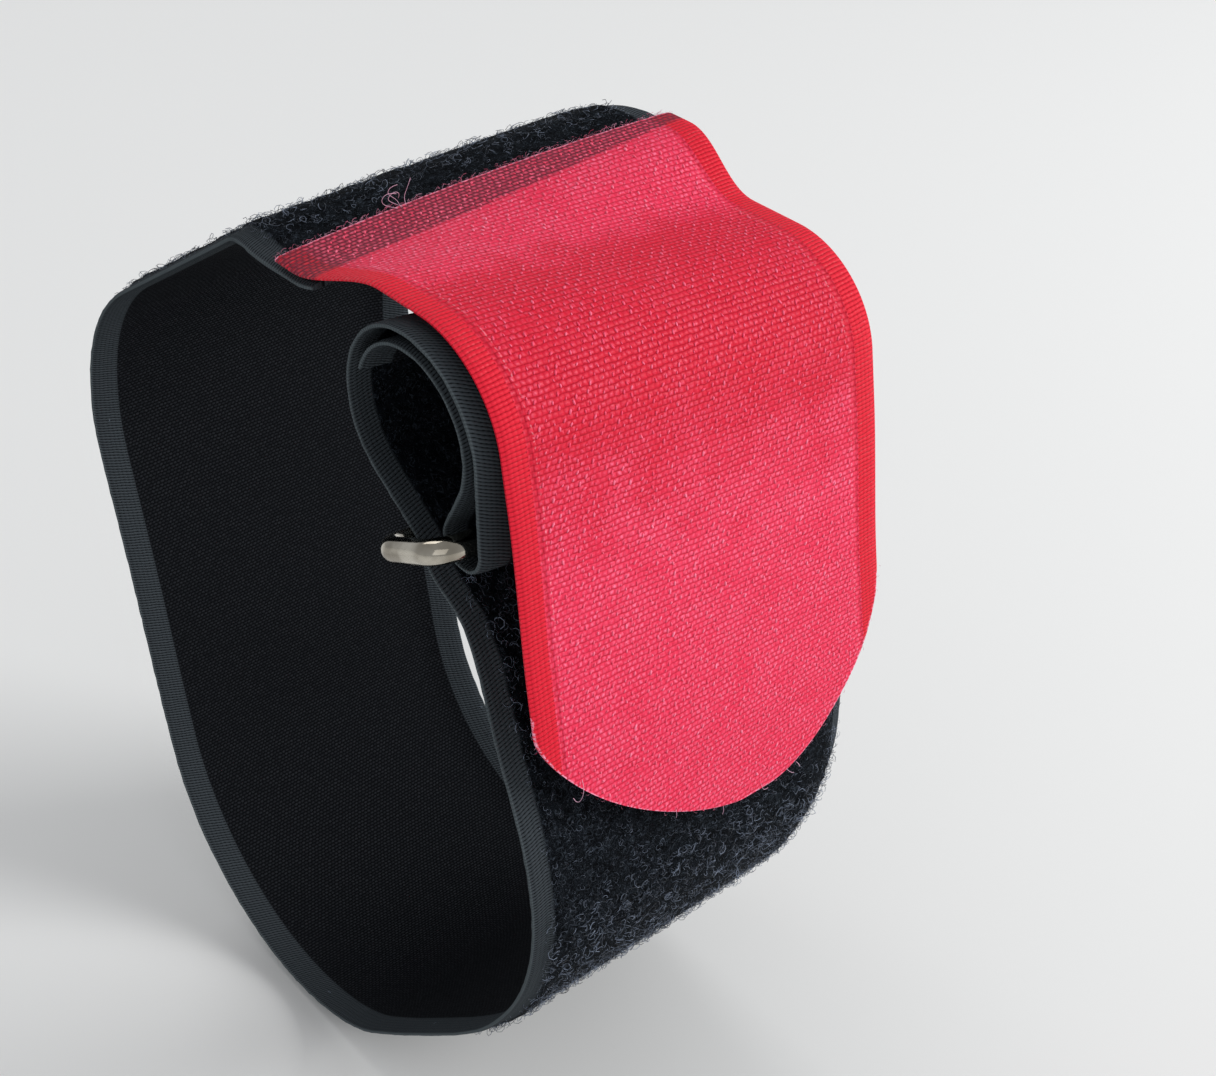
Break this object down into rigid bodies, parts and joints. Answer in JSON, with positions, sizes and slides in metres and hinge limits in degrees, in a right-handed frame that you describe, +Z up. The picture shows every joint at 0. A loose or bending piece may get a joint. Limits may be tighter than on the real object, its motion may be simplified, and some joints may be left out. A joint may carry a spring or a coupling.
{
  "type": "hook and loop cable tie",
  "caption": "Wide hook and loop cable tie with a wire ring, choked on a cable, closed in a loop round a bundle and pressed down with a rounded hook tab.",
  "frame": {"origin": "on the inner face of the tape, at the middle of its width, under the cut edge of the hook tab at the welded joint, where the tie hangs on the cables", "axes": "+X across the tape, along the cables; -Y towards the front, where the hook tab is pressed down; +Z up"},
  "size_m": [0.0583, 0.0998, 0.1284],
  "materials": {
    "black_loop_tape": "black woven nylon with curly loop pile",
    "red_hook_tape": "red woven nylon, smooth on the back",
    "nickel_plated_steel": "polished nickel plate"
  },
  "bodies": {
    "tie": {"loop_strap": "black_loop_tape", "hook_tab": "red_hook_tape"},
    "ring": {"ring": "nickel_plated_steel"}
  },
  "joints": [
    {"name": "ring_hinge", "type": "hinge", "parent": "tie", "child": "ring", "pos_m": [-0.002, -0.03151, -0.02091], "axis": [0.9921, -0.0298, -0.1219], "range_deg": [-12, 0]}
  ]
}
